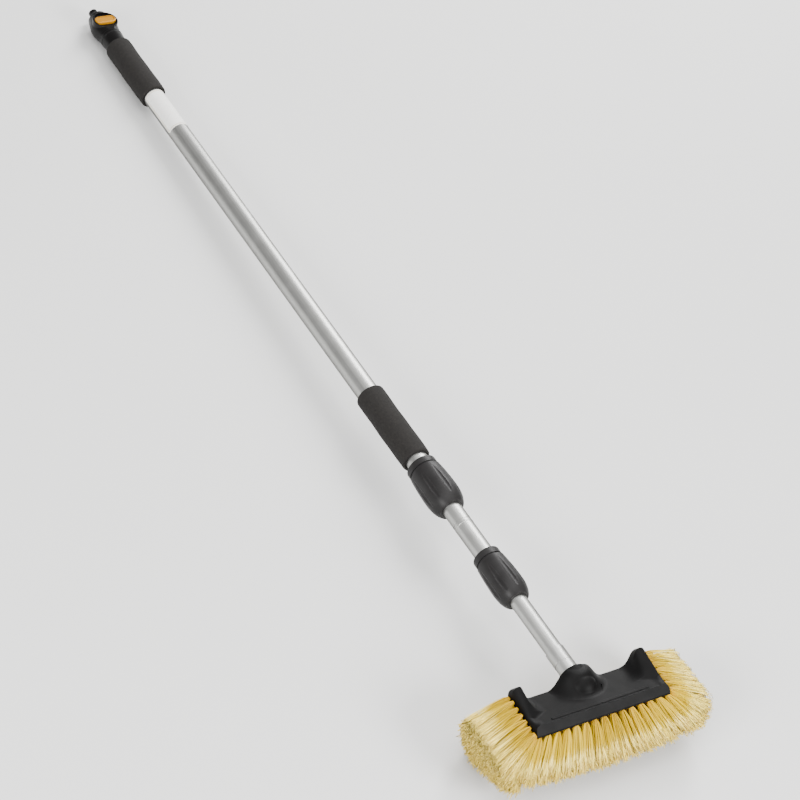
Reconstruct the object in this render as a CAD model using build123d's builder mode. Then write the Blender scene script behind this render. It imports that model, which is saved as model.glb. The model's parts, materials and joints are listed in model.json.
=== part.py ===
"""Telescopic flow-through wash brush: three-stage aluminium pole, water tap and bristle head.

Millimetres, +Z up. The brush lies on a floor, resting on its rear bristles and on the tap.
The pole runs along +Y, from the head towards the tap, and X is the length of the head.
Pieces along the pole are placed by their height above the mouth of the head's socket.
"""

import os
from math import asin, atan2, cos, hypot, radians, sin

from build123d import *

os.makedirs("parts", exist_ok=True)

# ---------------------------------------------------------------- clearances
slide_gap = 0.3          # radial gap between pieces that move on each other
fit_gap = 0.05           # radial gap between pieces that are pushed together

# ---------------------------------------------------------------- pole tubes
outer_radius = 16.0
outer_wall = 1.5
mid_radius = 13.5
mid_wall = 1.2
inner_radius = 11.75
inner_wall = 1.2
bead_depth = 0.35        # rolled line round a tube
bead_width = 2.0
mid_bead_drop = 30.0     # from the upper lock to the line on the middle tube

# lengths from the head upwards, as they show with the pole closed
sleeve_show = 39.0
inner_show = 90.0
lower_lock_length = 82.0
mid_show = 88.0
upper_lock_length = 84.0
bare_ring = 11.0
lower_grip_length = 132.0
outer_show = 693.0
upper_grip_length = 130.0
neck_length = 21.0
union_length = 7.0
valve_length = 51.0

stage_travel = 650.0     # how far each stage draws out
mid_overlap = 190.0      # stays inside the outer tube when drawn out
inner_overlap = 180.0    # stays inside the middle tube when drawn out

# ---------------------------------------------------------------- end sleeve and socket
sleeve_wall = 1.2
sleeve_bead_height = 15.0
socket_depth = 18.0
socket_radius = 20.5
socket_round = 3.5
socket_reach = 44.0      # length of the barrel moulded into the head
socket_nose = 20.0       # rounding of its buried end
nose_blend = 5.0         # between that end and the bell round it
washer_height = 1.5
water_radius = 4.5       # water way through the fittings
water_drop = 24.0        # from the floor of the socket into the chamber

# ---------------------------------------------------------------- foam grips
foam_thickness = 5.0
foam_round = 2.5

# ---------------------------------------------------------------- twist locks
lock_ring_length = 10.0
lock_ring_round = 1.6
lock_ring_step = 0.9     # the ring is this much smaller than the root of the nut
lock_groove = 3.0
lock_groove_depth = 2.2
lock_wall = 2.4
lock_nose = 45.0         # from the top of the lock to the end of its threaded nose
lock_tube_stop = 31.0    # from the top of the lock to the end of the tube it sits on
lock_seal_width = 2.4
collet_wall = 2.4
collet_length = 24.0
collet_slots = 6
collet_slot_width = 1.6
nut_skin = 4.0           # from the thread to the root of the nut
nut_belly = 2.15         # how far the belly stands over the root
nut_belly_share = 0.46   # where the belly lies, from the root to the mouth
nut_mouth_gap = 0.6      # between the tube and the mouth
nut_mouth_wall = 4.1
nut_mouth_web = 5.0
nut_flutes = 8
flute_radius = 5.5
flute_depth = 1.5

# ---------------------------------------------------------------- guides inside the tubes
guide_spigot = 18.0
guide_head = 12.0
guide_bore = 8.0
seal_width = 2.4
seal_depth = 1.3

# ---------------------------------------------------------------- tap
valve_radius = 21.3
valve_top_radius = 15.4
valve_foot_radius = 17.6
union_radius = 18.3
union_round = 1.2
neck_foot_radius = 16.9
neck_top_radius = 17.9
spigot_length = 28.0
adaptor_seal_drop = 9.0
ball_radius = 9.0
seat_reach = 12.0        # from the middle of the ball to the back of a seat
seat_length = 6.5
stem_radius = 3.6
tongue_width = 3.0
tongue_depth = 2.0
stem_seal_height = 10.6
turret_radius = 20.0
turret_height = 17.0
turret_round = 0.8
dish_radius = 18.3       # of the hollow in the turret that the lever lies in
dish_depth = 3.4
lever_gap = 0.4
lever_length = 35.0
lever_width = 16.5
lever_thickness = 4.8
lever_round = 1.8
lever_recess = 1.0
lever_rim = 2.4
lever_socket = 2.6

# ---------------------------------------------------------------- hose plug
plug_radius = 8.2
plug_flange = 1.5
plug_waist = 2.5
plug_waist_radius = 6.7
plug_shoulder = 3.5
plug_seal_width = 2.2
plug_seal_radius = 7.8
plug_seal_depth = 1.1
plug_nose = 8.5
plug_nose_radius = 7.2
plug_chamfer = 1.0
plug_shank = 13.0
plug_shank_radius = 6.75

# ---------------------------------------------------------------- label
label_length = 88.0
label_gap = 2.0
label_thickness = 0.15

# ---------------------------------------------------------------- head block
pole_angle = 22.0        # between the pole and the top of the block
mouth_setback = 41.0     # from the middle of the block to the mouth of the socket
mouth_height = 24.5      # from the underside of the block to the mouth of the socket
block_length = 208.0
block_width = 66.0
block_height = 15.4
board_top = 4.0          # the tuft board closes the underside of the block
slice_height = 1.5       # the layer of the board that holds the tufts
end_slice = 2.0          # the layer of each end that holds the tufts
front_lean = 5.0         # how far the front leans back, from the board to the top
ear_rise = 27.5          # from the top of the block to the top of the ear
ear_inset = 12.0         # from the end of the block to the ridge of the ear
ear_foot = 38.0          # from the end of the block to the foot of the hollow flank
ear_strip = 17.0         # width of the strip along the end in front of the ear
ear_strip_rise = 0.8
ear_back_drop = 7.0
ear_start = 21.0         # from the front of the block to where the ridge starts to rise
ear_scoop = 9.0          # from there to where the flank is at its full width
ear_setback = 9.0        # from the back of the block to the highest point of the ear
ear_hollow = 4.0         # how deep the flank dips below a straight line
ear_swell = 2.6          # how far the shoulder stands out from a straight line
end_front_height = 5.0   # the end's top edge climbs from here to the next
end_top_height = 33.0
end_back_height = 29.0
skirt_radius = 42.0      # of the bell round the barrel, at its foot
skirt_height = 24.8
skirt_sink = 1.0
skirt_foot = (35.0, 2.6)  # where the flare of the foot turns into the flank
skirt_shoulder = (22.5, 17.2)
boss_slot_place = (19.5, 0.5)
boss_slot_length = 21.0
boss_slot_width = 1.4
boss_slot_angle = 62.0
boss_slot_height = 0.4   # its floor, over the block's top
boss_slot_cut = 8.0      # more than the flare stands over that floor
rib_setback = 10.5       # from the front of the block to the rib along its top
rib_length = 150.0
rib_width = 5.0
rib_height = 1.2
rib_round = 1.1
rib_sink = 1.0
chamber_length = 150.0
chamber_width = 30.0
chamber_height = 4.0
gasket_land = 2.0
gasket_width = 2.5
gasket_height = 1.2
jet_count = 6
jet_radius = 1.4
jet_pitch = 28.0

# ---------------------------------------------------------------- bristles
strand_length = 59.0
end_strand_length = 69.0
strand_width = 2.2
strand_sink = 1.0
floor_trim = 0.5         # the lowest tips are worn this much flat
edge_inset = 3.0
row_pitch = 7.0
outer_splay = 20.0       # of the outer rows, forwards or backwards
inner_splay = 11.0
bottom_splay = 5.0
end_lean = 38.0          # of the last tufts along a row, towards the end
front_tufts = 15
bottom_tufts = 14
bottom_rows = 4
end_tufts = 7
fan_step = 2.7           # between the strands of a tuft at their roots
fan_angle = 3.2
end_row_pitch = 7.0      # the least height of a row on the ends
end_low_angle = 55.0     # below the horizontal, at the foot of the ends
end_high_angle = 16.0    # and at their top
end_turn = 14.0          # of the tufts at the front and back of an end, away from each other
end_fan_angle = 1.8
end_margin = 5.0

# ---------------------------------------------------------------- heights along the pole
sleeve_top = sleeve_show
lower_lock_bottom = sleeve_top + inner_show
lower_lock_top = lower_lock_bottom + lower_lock_length
upper_lock_bottom = lower_lock_top + mid_show
upper_lock_top = upper_lock_bottom + upper_lock_length
lower_grip_bottom = upper_lock_top + bare_ring
upper_grip_bottom = lower_grip_bottom + lower_grip_length + outer_show
upper_grip_top = upper_grip_bottom + upper_grip_length
neck_top = upper_grip_top + neck_length
valve_foot = neck_top + union_length
valve_middle = valve_foot + valve_length / 2
valve_top = valve_foot + valve_length
plug_shoulder_foot = valve_top + plug_flange + plug_waist
plug_seal_foot = plug_shoulder_foot + plug_shoulder
plug_top = plug_seal_foot + plug_seal_width + plug_nose

tube_foot = washer_height - socket_depth
mid_foot = lower_lock_top - lock_tube_stop
outer_foot = upper_lock_top - lock_tube_stop
mid_top = outer_foot + mid_overlap + stage_travel
inner_top = mid_foot + inner_overlap + stage_travel
outer_top = upper_grip_top - fit_gap

outer_bore = outer_radius - outer_wall
mid_bore = mid_radius - mid_wall
inner_bore = inner_radius - inner_wall
sleeve_radius = inner_radius + fit_gap + sleeve_wall
ball_room = ball_radius + slide_gap

half_length = block_length / 2
half_width = block_width / 2
shell_end = half_length - end_slice


# ---------------------------------------------------------------- the floor under the brush
def tip(root, splay):
    """Y and Z, on the block, of the end of a strand of the rear rows."""
    reach = strand_length - strand_sink - floor_trim
    return (root + reach * sin(radians(splay)), -reach * cos(radians(splay)))


def floor_slope(point):
    """Slope, on the block, of the line from a tip to the underside of the tap."""
    run = mouth_setback + valve_middle * cos(pole_lean) - point[0]
    rise = mouth_height + valve_middle * sin(pole_lean) - point[1]
    return atan2(rise, run) - asin(valve_radius / hypot(run, rise))


def lying(y, z):
    """Turns a point of the block's Y and Z to the floor's."""
    return (
        y * cos(floor_angle) + z * sin(floor_angle),
        z * cos(floor_angle) - y * sin(floor_angle),
    )


pole_lean = radians(pole_angle)
row_outer = half_width - edge_inset
row_inner = row_outer - row_pitch
rear_tips = (tip(row_outer, outer_splay), tip(row_inner, inner_splay))
floor_angle = max(floor_slope(point) for point in rear_tips)
rest_tip = max(rear_tips, key=floor_slope)
front_reach = lying(-rear_tips[0][0], rear_tips[0][1])[0]
plug_reach = lying(
    mouth_setback + plug_top * cos(pole_lean),
    mouth_height + plug_top * sin(pole_lean),
)[0]

HEAD = Plane(
    origin=(0, -(plug_reach + front_reach) / 2, -lying(*rest_tip)[1]),
    x_dir=(1, 0, 0),
    z_dir=(0, sin(floor_angle), cos(floor_angle)),
)


def head_point(x, y, z):
    return HEAD.from_local_coords(Vector(x, y, z))


def head_way(x, y, z):
    return HEAD.x_dir * x + HEAD.y_dir * y + HEAD.z_dir * z


def crosswise(y):
    """Plane through the block at y: its own axes are the block's X and Z."""
    return Plane(origin=head_point(0, y, 0), x_dir=HEAD.x_dir, z_dir=-HEAD.y_dir)


def lengthwise(x):
    """Plane through the block at x: its own axes are the block's Y and Z."""
    return Plane(origin=head_point(x, 0, 0), x_dir=HEAD.y_dir, z_dir=HEAD.x_dir)


FRONT = Plane(
    origin=head_point(0, -half_width, board_top),
    x_dir=HEAD.x_dir,
    z_dir=head_way(0, block_height - board_top, -front_lean),
)
POLE = Plane(
    origin=head_point(0, mouth_setback, mouth_height),
    x_dir=(1, 0, 0),
    z_dir=head_way(0, cos(pole_lean), sin(pole_lean)),
)
POLE_AXIS = Axis(POLE.origin, POLE.z_dir)
SECTION = Plane(origin=POLE.origin, x_dir=(1, 0, 0), z_dir=Vector(1, 0, 0).cross(POLE.z_dir))
TAP = Plane(POLE.origin + POLE.z_dir * valve_middle, x_dir=SECTION.x_dir, z_dir=SECTION.z_dir)
TAP_AXIS = Axis(TAP.origin, TAP.z_dir)


def finish(piece, label):
    piece.part.label = label
    export_step(piece.part, f"parts/{label}.step")


def turned(label, *outline):
    """A piece turned about the pole, from its outline of radii and heights."""
    with BuildPart() as piece:
        with BuildSketch(SECTION):
            with BuildLine():
                Polyline(*outline, close=True)
            make_face()
        revolve(axis=POLE_AXIS)
    finish(piece, label)


def ring(label, bore, radius, foot, top):
    turned(label, (bore, foot), (radius, foot), (radius, top), (bore, top))


# ================================================================ pole tubes
def tube(label, radius, wall, foot, top, bead=None):
    with BuildPart() as piece:
        with BuildSketch(POLE.offset(foot)):
            Circle(radius)
            Circle(radius - wall, mode=Mode.SUBTRACT)
        extrude(amount=top - foot)
        if bead:
            with BuildSketch(POLE.offset(bead)):
                Circle(radius + bead_depth)
                Circle(radius - bead_depth, mode=Mode.SUBTRACT)
            extrude(amount=bead_width, mode=Mode.SUBTRACT)
    finish(piece, label)


tube("outer_tube", outer_radius, outer_wall, outer_foot, outer_top)
tube("mid_tube", mid_radius, mid_wall, mid_foot, mid_top, bead=upper_lock_bottom - mid_bead_drop)
tube("inner_tube", inner_radius, inner_wall, tube_foot, inner_top)
tube("end_sleeve", sleeve_radius, sleeve_wall, tube_foot, sleeve_top, bead=sleeve_bead_height)
ring("socket_washer", water_radius, sleeve_radius, -socket_depth, tube_foot)


# ================================================================ foam grips
def foam_grip(label, foot, length):
    with BuildPart() as grip:
        with BuildSketch(POLE.offset(foot)):
            Circle(outer_radius + fit_gap + foam_thickness)
            Circle(outer_radius + fit_gap, mode=Mode.SUBTRACT)
        extrude(amount=length)
        rims = grip.edges().filter_by(GeomType.CIRCLE).group_by(SortBy.RADIUS)[-1]
        fillet(rims, radius=foam_round)
    finish(grip, label)


foam_grip("lower_grip", lower_grip_bottom, lower_grip_length)
foam_grip("upper_grip", upper_grip_bottom, upper_grip_length)

# ================================================================ label on the outer tube
with BuildPart() as label_film:
    with BuildSketch(POLE.offset(upper_grip_bottom - label_gap - label_length)):
        Circle(outer_radius + fit_gap + label_thickness)
        Circle(outer_radius + fit_gap, mode=Mode.SUBTRACT)
        Rectangle(
            4 * outer_radius,
            2 * outer_radius,
            align=(Align.CENTER, Align.MAX),
            mode=Mode.INTERSECT,
        )
    extrude(amount=label_length)
finish(label_film, "label_film")


# ================================================================ twist locks
def twist_lock(prefix, carrier_radius, slider_radius, foot, top):
    """The sleeve on the carrying tube, its collet and seal, and the barrel nut over them."""
    carrier_bore = carrier_radius + fit_gap
    slider_bore = slider_radius + slide_gap
    nose_radius = carrier_bore + lock_wall
    nut_bore = nose_radius + slide_gap
    root_radius = nut_bore + nut_skin
    ring_radius = root_radius - lock_ring_step
    ring_foot = top - lock_ring_length
    nut_top = ring_foot - lock_groove
    nose_foot = top - lock_nose
    tube_stop = top - lock_tube_stop
    shoulder = tube_stop - lock_seal_width
    collet_top = nose_foot - fit_gap
    collet_radius = slider_bore + collet_wall
    collet_room = collet_radius + slide_gap
    mouth_bore = slider_radius + nut_mouth_gap
    mouth_radius = mouth_bore + nut_mouth_wall

    with BuildPart() as sleeve:
        with BuildSketch(SECTION):
            with BuildLine():
                Polyline(
                    (carrier_bore, top),
                    (ring_radius, top),
                    (ring_radius, ring_foot),
                    (root_radius - lock_groove_depth, ring_foot),
                    (root_radius - lock_groove_depth, nut_top + slide_gap),
                    (nose_radius, nut_top + slide_gap),
                    (nose_radius, nose_foot),
                    (slider_bore, nose_foot),
                    (slider_bore, shoulder),
                    (carrier_bore, shoulder),
                    close=True,
                )
            make_face()
        revolve(axis=POLE_AXIS)
        rims = sleeve.edges().filter_by(GeomType.CIRCLE).group_by(SortBy.RADIUS)[-1]
        fillet(rims.sort_by(POLE_AXIS)[-1], radius=lock_ring_round)
    finish(sleeve, f"{prefix}_lock_sleeve")

    ring(f"{prefix}_lock_seal", slider_bore, carrier_radius, shoulder, tube_stop)

    with BuildPart() as collet:
        with BuildSketch(POLE.offset(collet_top - collet_length)):
            Circle(collet_radius)
            Circle(slider_bore, mode=Mode.SUBTRACT)
        extrude(amount=collet_length)
        with BuildSketch(POLE.offset(collet_top - collet_length)):
            with PolarLocations(slider_bore, collet_slots):
                Rectangle(2 * collet_wall + slider_bore, collet_slot_width)
        extrude(amount=collet_length * 3 / 4, mode=Mode.SUBTRACT)
    finish(collet, f"{prefix}_lock_collet")

    belly_height = nut_top + (foot - nut_top) * nut_belly_share
    with BuildPart() as nut:
        with BuildSketch(SECTION):
            with BuildLine():
                Spline(
                    (root_radius, nut_top),
                    (root_radius + nut_belly, belly_height),
                    (mouth_radius, foot),
                    tangents=((0.1, -1), (-0.75, -1)),
                )
                Polyline(
                    (mouth_radius, foot),
                    (mouth_bore, foot),
                    (mouth_bore, foot + nut_mouth_web),
                    (collet_room, foot + 2 * nut_mouth_web),
                    (collet_room, nose_foot - nut_mouth_web),
                    (nut_bore, nose_foot - slide_gap),
                    (nut_bore, nut_top),
                    (root_radius, nut_top),
                )
            make_face()
        revolve(axis=POLE_AXIS)
        flute_circle = root_radius + nut_belly - flute_depth + flute_radius
        with BuildSketch(POLE.offset(foot)):
            with PolarLocations(flute_circle, nut_flutes):
                Circle(flute_radius)
        extrude(amount=nut_top - foot, mode=Mode.SUBTRACT)
    finish(nut, f"{prefix}_lock_nut")


twist_lock("lower", mid_radius, inner_radius, lower_lock_bottom, lower_lock_top)
twist_lock("upper", outer_radius, mid_radius, upper_lock_bottom, upper_lock_top)


# ================================================================ guides inside the tubes
def guide(prefix, tube_bore, room, foot):
    """The plug in the top of a sliding tube, and the seal round its head."""
    head_radius = room - slide_gap
    groove_foot = foot + (guide_head - seal_width) / 2
    groove_top = groove_foot + seal_width
    turned(
        f"{prefix}_guide",
        (guide_bore, foot - guide_spigot),
        (tube_bore - fit_gap, foot - guide_spigot),
        (tube_bore - fit_gap, foot),
        (head_radius, foot),
        (head_radius, groove_foot),
        (head_radius - seal_depth, groove_foot),
        (head_radius - seal_depth, groove_top),
        (head_radius, groove_top),
        (head_radius, foot + guide_head),
        (guide_bore, foot + guide_head),
    )
    ring(f"{prefix}_guide_seal", head_radius - seal_depth, head_radius, groove_foot, groove_top)


guide("mid", mid_bore, outer_bore, mid_top)
guide("inner", inner_bore, mid_bore, inner_top)

# ================================================================ pole adaptor and union
adaptor_seal_foot = outer_top - adaptor_seal_drop
spigot_radius = outer_bore - fit_gap
nose_radius = ball_room - fit_gap
turned(
    "pole_adaptor",
    (water_radius, outer_top - spigot_length),
    (spigot_radius, outer_top - spigot_length),
    (spigot_radius, adaptor_seal_foot - seal_width),
    (spigot_radius - seal_depth, adaptor_seal_foot - seal_width),
    (spigot_radius - seal_depth, adaptor_seal_foot),
    (spigot_radius, adaptor_seal_foot),
    (spigot_radius, upper_grip_top),
    (neck_foot_radius, upper_grip_top),
    (neck_top_radius, neck_top),
    (nose_radius, neck_top),
    (nose_radius, valve_middle - seat_reach),
    (water_radius, valve_middle - seat_reach),
)
ring(
    "adaptor_seal",
    spigot_radius - seal_depth,
    spigot_radius,
    adaptor_seal_foot - seal_width,
    adaptor_seal_foot,
)

with BuildPart() as union_ring:
    with BuildSketch(POLE.offset(neck_top)):
        Circle(union_radius)
        Circle(nose_radius + fit_gap, mode=Mode.SUBTRACT)
    extrude(amount=union_length)
    outer_rims = union_ring.edges().filter_by(GeomType.CIRCLE).group_by(SortBy.RADIUS)[-1]
    fillet(outer_rims, radius=union_round)
finish(union_ring, "union_ring")

# ================================================================ tap body
half_valve = valve_length / 2
with BuildPart() as tap_body:
    with BuildSketch(TAP):
        with BuildLine():
            Spline(
                (valve_foot_radius, -half_valve),
                (valve_radius, 0),
                (valve_top_radius, half_valve),
                tangents=((0.1, 1), (-0.25, 1)),
            )
            Polyline(
                (valve_top_radius, half_valve),
                (0, half_valve),
                (0, -half_valve),
                (valve_foot_radius, -half_valve),
            )
        make_face()
    revolve(axis=POLE_AXIS)
    split(bisect_by=TAP.offset(turret_height), keep=Keep.BOTTOM)
    with BuildSketch(Plane(TAP.origin, x_dir=TAP.x_dir, z_dir=-TAP.y_dir)) as turret:
        Rectangle(turret_radius, turret_height, align=(Align.MIN, Align.MIN))
        fillet(turret.vertices().group_by(Axis.X)[-1].sort_by(Axis.Y)[-1], radius=turret_round)
    revolve(axis=TAP_AXIS)
    with BuildSketch(POLE.offset(valve_foot)):
        Circle(ball_room)
    extrude(amount=valve_middle + seat_reach - valve_foot, mode=Mode.SUBTRACT)
    with BuildSketch(POLE.offset(valve_middle)):
        Circle(plug_shank_radius + fit_gap)
    extrude(amount=half_valve, mode=Mode.SUBTRACT)
    with BuildSketch(TAP.offset(turret_height)):
        Circle(dish_radius)
    extrude(amount=-dish_depth, mode=Mode.SUBTRACT)
    with BuildSketch(TAP):
        Circle(stem_radius + slide_gap)
    extrude(amount=turret_height, mode=Mode.SUBTRACT)
finish(tap_body, "tap_body")


# ================================================================ ball, seats and stem
def ball_seat(label, side):
    back = valve_middle + side * (seat_reach - fit_gap)
    with BuildPart() as seat:
        with BuildSketch(POLE.offset(back)):
            Circle(ball_room - fit_gap)
            Circle(water_radius, mode=Mode.SUBTRACT)
        extrude(amount=-side * seat_length)
        with BuildSketch(TAP):
            with BuildLine():
                ThreePointArc((0, -ball_room), (ball_room, 0), (0, ball_room))
                Line((0, ball_room), (0, -ball_room))
            make_face()
        revolve(axis=POLE_AXIS, mode=Mode.SUBTRACT)
    finish(seat, label)


ball_seat("inlet_seat", 1)
ball_seat("outlet_seat", -1)

with BuildPart() as valve_ball:
    with BuildSketch(TAP):
        with BuildLine():
            ThreePointArc((0, -ball_radius), (ball_radius, 0), (0, ball_radius))
            Line((0, ball_radius), (0, -ball_radius))
        make_face()
    revolve(axis=POLE_AXIS)
    with BuildSketch(Plane(TAP.origin, x_dir=TAP.y_dir, z_dir=TAP.x_dir)):
        Circle(water_radius)
    extrude(amount=ball_radius, both=True, mode=Mode.SUBTRACT)
    with BuildSketch(TAP.offset(ball_radius - tongue_depth)):
        Rectangle(2 * ball_radius, tongue_width)
    extrude(amount=tongue_depth, mode=Mode.SUBTRACT)
finish(valve_ball, "valve_ball")

lever_foot = turret_height - dish_depth + lever_gap
stem_foot = ball_radius + fit_gap
stem_top = lever_foot + lever_socket - fit_gap
with BuildPart() as valve_stem:
    with BuildSketch(TAP.offset(ball_radius - tongue_depth)):
        Rectangle(2 * stem_radius - tongue_width, tongue_width - 2 * fit_gap)
    extrude(amount=tongue_depth + fit_gap)
    with BuildSketch(TAP.offset(stem_foot)):
        Circle(stem_radius)
    extrude(amount=stem_top - stem_foot)
    with BuildSketch(TAP.offset(stem_seal_height)):
        Circle(stem_radius)
        Circle(stem_radius - seal_depth / 2, mode=Mode.SUBTRACT)
    extrude(amount=seal_width, mode=Mode.SUBTRACT)
finish(valve_stem, "valve_stem")

with BuildPart() as stem_seal:
    with BuildSketch(TAP.offset(stem_seal_height)):
        Circle(stem_radius)
        Circle(stem_radius - seal_depth / 2, mode=Mode.SUBTRACT)
    extrude(amount=seal_width)
finish(stem_seal, "stem_seal")

# ================================================================ tap lever
with BuildPart() as tap_lever:
    with BuildSketch(TAP.offset(lever_foot)):
        SlotOverall(lever_length, lever_width)
    extrude(amount=lever_thickness)
    top_rim = tap_lever.faces().sort_by(TAP_AXIS)[-1].edges()
    fillet(top_rim, radius=lever_round)
    with BuildSketch(TAP.offset(lever_foot + lever_thickness)):
        SlotOverall(lever_length - 2 * lever_rim, lever_width - 2 * lever_rim)
    extrude(amount=-lever_recess, mode=Mode.SUBTRACT)
    with BuildSketch(TAP.offset(lever_foot)):
        Circle(stem_radius + fit_gap)
    extrude(amount=lever_socket, mode=Mode.SUBTRACT)
finish(tap_lever, "tap_lever")

# ================================================================ hose plug
turned(
    "hose_plug",
    (water_radius, valve_top - plug_shank),
    (plug_shank_radius, valve_top - plug_shank),
    (plug_shank_radius, valve_top),
    (plug_radius, valve_top),
    (plug_radius, valve_top + plug_flange),
    (plug_waist_radius, valve_top + plug_flange),
    (plug_waist_radius, plug_shoulder_foot),
    (plug_radius, plug_shoulder_foot),
    (plug_radius, plug_seal_foot - plug_chamfer),
    (plug_nose_radius, plug_seal_foot),
    (plug_nose_radius - plug_seal_depth, plug_seal_foot),
    (plug_nose_radius - plug_seal_depth, plug_seal_foot + plug_seal_width),
    (plug_nose_radius, plug_seal_foot + plug_seal_width),
    (plug_nose_radius, plug_top - plug_chamfer),
    (plug_nose_radius - plug_chamfer, plug_top),
    (water_radius, plug_top),
)
ring(
    "plug_seal",
    plug_nose_radius - plug_seal_depth,
    plug_seal_radius,
    plug_seal_foot,
    plug_seal_foot + plug_seal_width,
)


# ================================================================ head shell
ear_top = half_width - ear_setback
ear_foremost = ear_start - half_width


def end_height(y):
    """Height of the end's top edge at y: it climbs to below the ear's top, then falls."""
    if y > ear_top:
        return end_top_height - (end_top_height - end_back_height) * (y - ear_top) / ear_setback
    share = (y + half_width) / (ear_top + half_width)
    return end_front_height + (end_top_height - end_front_height) * share


def ridge_height(y):
    """Height of the ear's ridge at y."""
    if y > ear_top:
        return block_height + ear_rise - ear_back_drop * (y - ear_top) / ear_setback
    share = max((y - ear_foremost) / (ear_top - ear_foremost), 0)
    return block_height + ear_strip_rise + (ear_rise - ear_strip_rise) * share


def ear_section(y, foot):
    """Outline of an ear across the block: hollow inner flank, ridge and outer shoulder."""
    foot_point = Vector(half_length - foot, block_height)
    ridge_point = Vector(half_length - ear_inset, ridge_height(y))
    end_point = Vector(shell_end, end_height(y))
    steepness = (ridge_point.Y - block_height) / ear_rise
    hollow_point = (foot_point + ridge_point) / 2 + Vector(ear_hollow, -ear_hollow) * steepness
    swell_point = (ridge_point + end_point) / 2 + Vector(ear_swell, ear_swell)
    with BuildSketch(crosswise(y)) as section:
        with BuildLine():
            Spline(
                foot_point,
                hollow_point,
                ridge_point,
                swell_point,
                end_point,
                tangents=((1, 0), (0.1, -1)),
            )
            Polyline(
                end_point,
                (shell_end, board_top),
                (half_length - foot, board_top),
                foot_point,
            )
        make_face()
    return section.sketch


with BuildPart() as ears:
    loft([
        ear_section(-half_width, ear_strip),
        ear_section(ear_foremost, ear_strip),
        ear_section(ear_foremost + ear_scoop, ear_foot),
        ear_section(ear_top, ear_foot),
        ear_section(half_width, ear_foot),
    ], ruled=True)
    mirror(about=Plane(HEAD.origin, z_dir=HEAD.x_dir))

with BuildPart() as skirt:
    with BuildSketch(crosswise(half_width)):
        with BuildLine():
            Spline(
                (skirt_radius, block_height),
                (skirt_foot[0], block_height + skirt_foot[1]),
                (skirt_shoulder[0], block_height + skirt_shoulder[1]),
                (0, block_height + skirt_height),
                tangents=((-1, 0.1), (-1, 0)),
            )
            Polyline(
                (0, block_height + skirt_height),
                (0, block_height - skirt_sink),
                (skirt_radius, block_height - skirt_sink),
                (skirt_radius, block_height),
            )
        make_face()
    revolve(axis=Axis(head_point(0, half_width, 0), HEAD.z_dir))
    split(bisect_by=crosswise(half_width), keep=Keep.TOP)

with BuildPart() as rib:
    with BuildSketch(HEAD.offset(block_height - rib_sink)):
        with Locations((0, rib_setback - half_width)):
            SlotOverall(rib_length, rib_width)
    extrude(amount=rib_sink + rib_height)
    rib_rim = rib.faces().sort_by(Axis(HEAD.origin, HEAD.z_dir))[-1].edges()
    fillet(rib_rim, radius=rib_round)

with BuildPart() as head_shell:
    with BuildSketch(POLE):
        Circle(socket_radius)
    extrude(amount=-socket_reach)
    barrel_rims = head_shell.edges().filter_by(GeomType.CIRCLE).sort_by(POLE_AXIS)
    fillet(barrel_rims[0], radius=socket_nose)
    barrel_rims = head_shell.edges().filter_by(GeomType.CIRCLE).sort_by(POLE_AXIS)
    fillet(barrel_rims[-1], radius=socket_round)
    split(bisect_by=HEAD.offset(board_top), keep=Keep.TOP)
    with BuildSketch(HEAD.offset(board_top)):
        Rectangle(2 * (half_length - ear_inset), block_width)
    extrude(amount=block_height - board_top)
    add(ears.part)
    add(skirt.part)
    seams = head_shell.edges().filter_by(GeomType.BSPLINE)
    fillet(seams.filter_by(lambda seam: abs(seam.center().X) < fit_gap), radius=nose_blend)
    split(bisect_by=FRONT, keep=Keep.TOP)
    add(rib.part)
    with BuildSketch(HEAD.offset(block_height + boss_slot_height)):
        with Locations(Location(boss_slot_place, boss_slot_angle)):
            SlotOverall(boss_slot_length, boss_slot_width)
    extrude(amount=boss_slot_cut, mode=Mode.SUBTRACT)
    with BuildSketch(POLE.offset(-socket_depth)):
        Circle(sleeve_radius + fit_gap)
    extrude(amount=2 * socket_depth, mode=Mode.SUBTRACT)
    with BuildSketch(POLE.offset(-socket_depth)):
        Circle(water_radius)
    extrude(amount=-water_drop, mode=Mode.SUBTRACT)
    with BuildSketch(HEAD.offset(board_top)):
        Rectangle(chamber_length, chamber_width)
    extrude(amount=chamber_height, mode=Mode.SUBTRACT)
    with BuildSketch(HEAD.offset(board_top)):
        Rectangle(
            chamber_length + 2 * (gasket_land + gasket_width),
            chamber_width + 2 * (gasket_land + gasket_width),
        )
        Rectangle(
            chamber_length + 2 * gasket_land,
            chamber_width + 2 * gasket_land,
            mode=Mode.SUBTRACT,
        )
    extrude(amount=gasket_height, mode=Mode.SUBTRACT)
finish(head_shell, "head_shell")

with BuildPart() as board_gasket:
    with BuildSketch(HEAD.offset(board_top)):
        Rectangle(
            chamber_length + 2 * (gasket_land + gasket_width),
            chamber_width + 2 * (gasket_land + gasket_width),
        )
        Rectangle(
            chamber_length + 2 * gasket_land,
            chamber_width + 2 * gasket_land,
            mode=Mode.SUBTRACT,
        )
    extrude(amount=gasket_height)
finish(board_gasket, "board_gasket")

# ================================================================ tuft board
with BuildPart() as tuft_board:
    with BuildSketch(HEAD.offset(slice_height)):
        Rectangle(2 * shell_end, block_width)
        with GridLocations(jet_pitch, 0, jet_count, 1):
            Circle(jet_radius, mode=Mode.SUBTRACT)
    extrude(amount=board_top - slice_height)
finish(tuft_board, "tuft_board")


# ================================================================ bristles
def strand_plane(root, way):
    """Plane across a strand, sunk into its backing."""
    way = way.normalized()
    return Plane(root - way * strand_sink, x_dir=HEAD.x_dir.cross(way), z_dir=way)


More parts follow.
